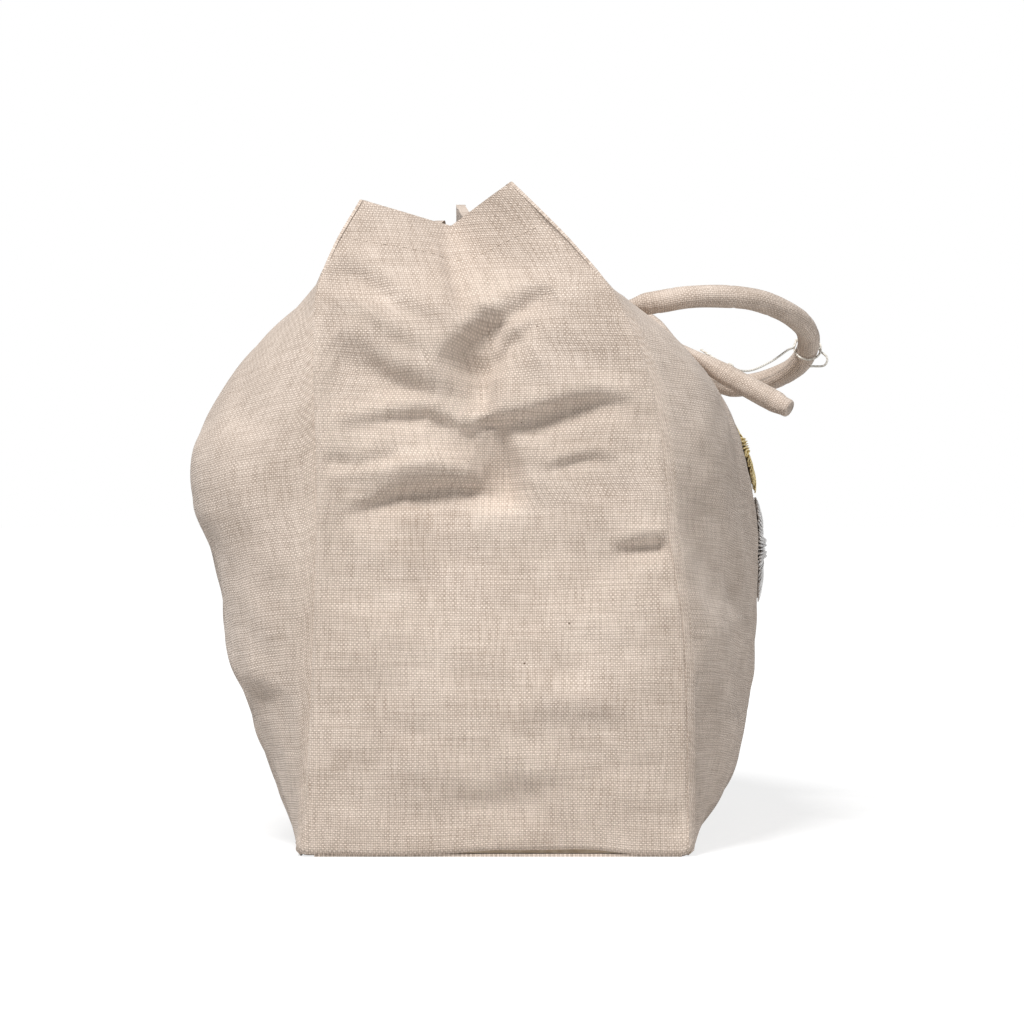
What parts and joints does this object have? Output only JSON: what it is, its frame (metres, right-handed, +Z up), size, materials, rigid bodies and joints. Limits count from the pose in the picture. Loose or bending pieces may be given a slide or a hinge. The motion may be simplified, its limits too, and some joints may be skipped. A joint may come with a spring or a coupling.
{
  "type": "handbag",
  "caption": "Slouching beige linen handbag with folded gussets, toppled stuffed tube handle, raised flowers and a magnetic snap",
  "frame": {"origin": "centre of the base's underside, on the ground", "axes": "+X towards the decorated front panel, +Y along the bag's length, +Z up"},
  "size_m": [0.284, 0.3414, 0.2815],
  "materials": {
    "linen": "coarse plain weave",
    "thread": "twisted thread",
    "lining": "smooth cotton",
    "board": "raw pressed board",
    "snap_metal": "satin nickel",
    "cotton_cord": "soft braid",
    "string": "waxed thread",
    "yellow_raffia": "dry straw",
    "white_raffia": "dry straw"
  },
  "bodies": {
    "bag": {"front_panel": "linen", "back_panel": "linen", "left_gusset": "linen", "right_gusset": "linen", "left_gusset_hem": "linen", "right_gusset_hem": "linen", "base_panel": "linen", "front_handle_left_end": "linen", "front_handle_right_end": "linen", "back_handle_left_end": "linen", "back_handle_right_end": "linen", "front_handle_left_tack_upper": "thread", "front_handle_left_tack_lower": "thread", "front_handle_right_tack_upper": "thread", "front_handle_right_tack_lower": "thread", "back_handle_left_tack_upper": "thread", "back_handle_left_tack_lower": "thread", "back_handle_right_tack_upper": "thread", "back_handle_right_tack_lower": "thread", "front_lining": "lining", "back_lining": "lining", "left_gusset_lining": "lining", "right_gusset_lining": "lining", "base_lining": "lining", "slip_pocket": "lining", "base_board": "board", "yellow_flower": "yellow_raffia", "white_flower": "white_raffia"},
    "front_mouth": {"front_mouth_band": "linen", "front_facing": "linen", "snap_stud": "snap_metal", "stud_backing_plate": "snap_metal"},
    "back_mouth": {"back_mouth_band": "linen", "back_facing": "linen", "snap_socket": "snap_metal", "socket_backing_plate": "snap_metal"},
    "front_handle": {"front_handle_cover": "linen", "front_handle_core": "cotton_cord", "tag_string": "string"},
    "back_handle": {"back_handle_cover": "linen", "back_handle_core": "cotton_cord"}
  },
  "joints": [
    {"name": "front_mouth_open", "type": "hinge", "parent": "bag", "child": "front_mouth", "pos_m": [0.05201, 0, 0.232], "axis": [0, 1, 0], "range_deg": [0, 35]},
    {"name": "back_mouth_open", "type": "hinge", "parent": "bag", "child": "back_mouth", "pos_m": [-0.07237, 0, 0.24], "axis": [0, -1, 0], "range_deg": [0, 35]},
    {"name": "front_handle_swing", "type": "hinge", "parent": "bag", "child": "front_handle", "pos_m": [0.05889, 0, 0.23216], "axis": [0, -1, 0], "range_deg": [0, 85]},
    {"name": "back_handle_swing", "type": "hinge", "parent": "bag", "child": "back_handle", "pos_m": [-0.0774, 0, 0.22944], "axis": [0, 1, 0], "range_deg": [0, 110]}
  ]
}
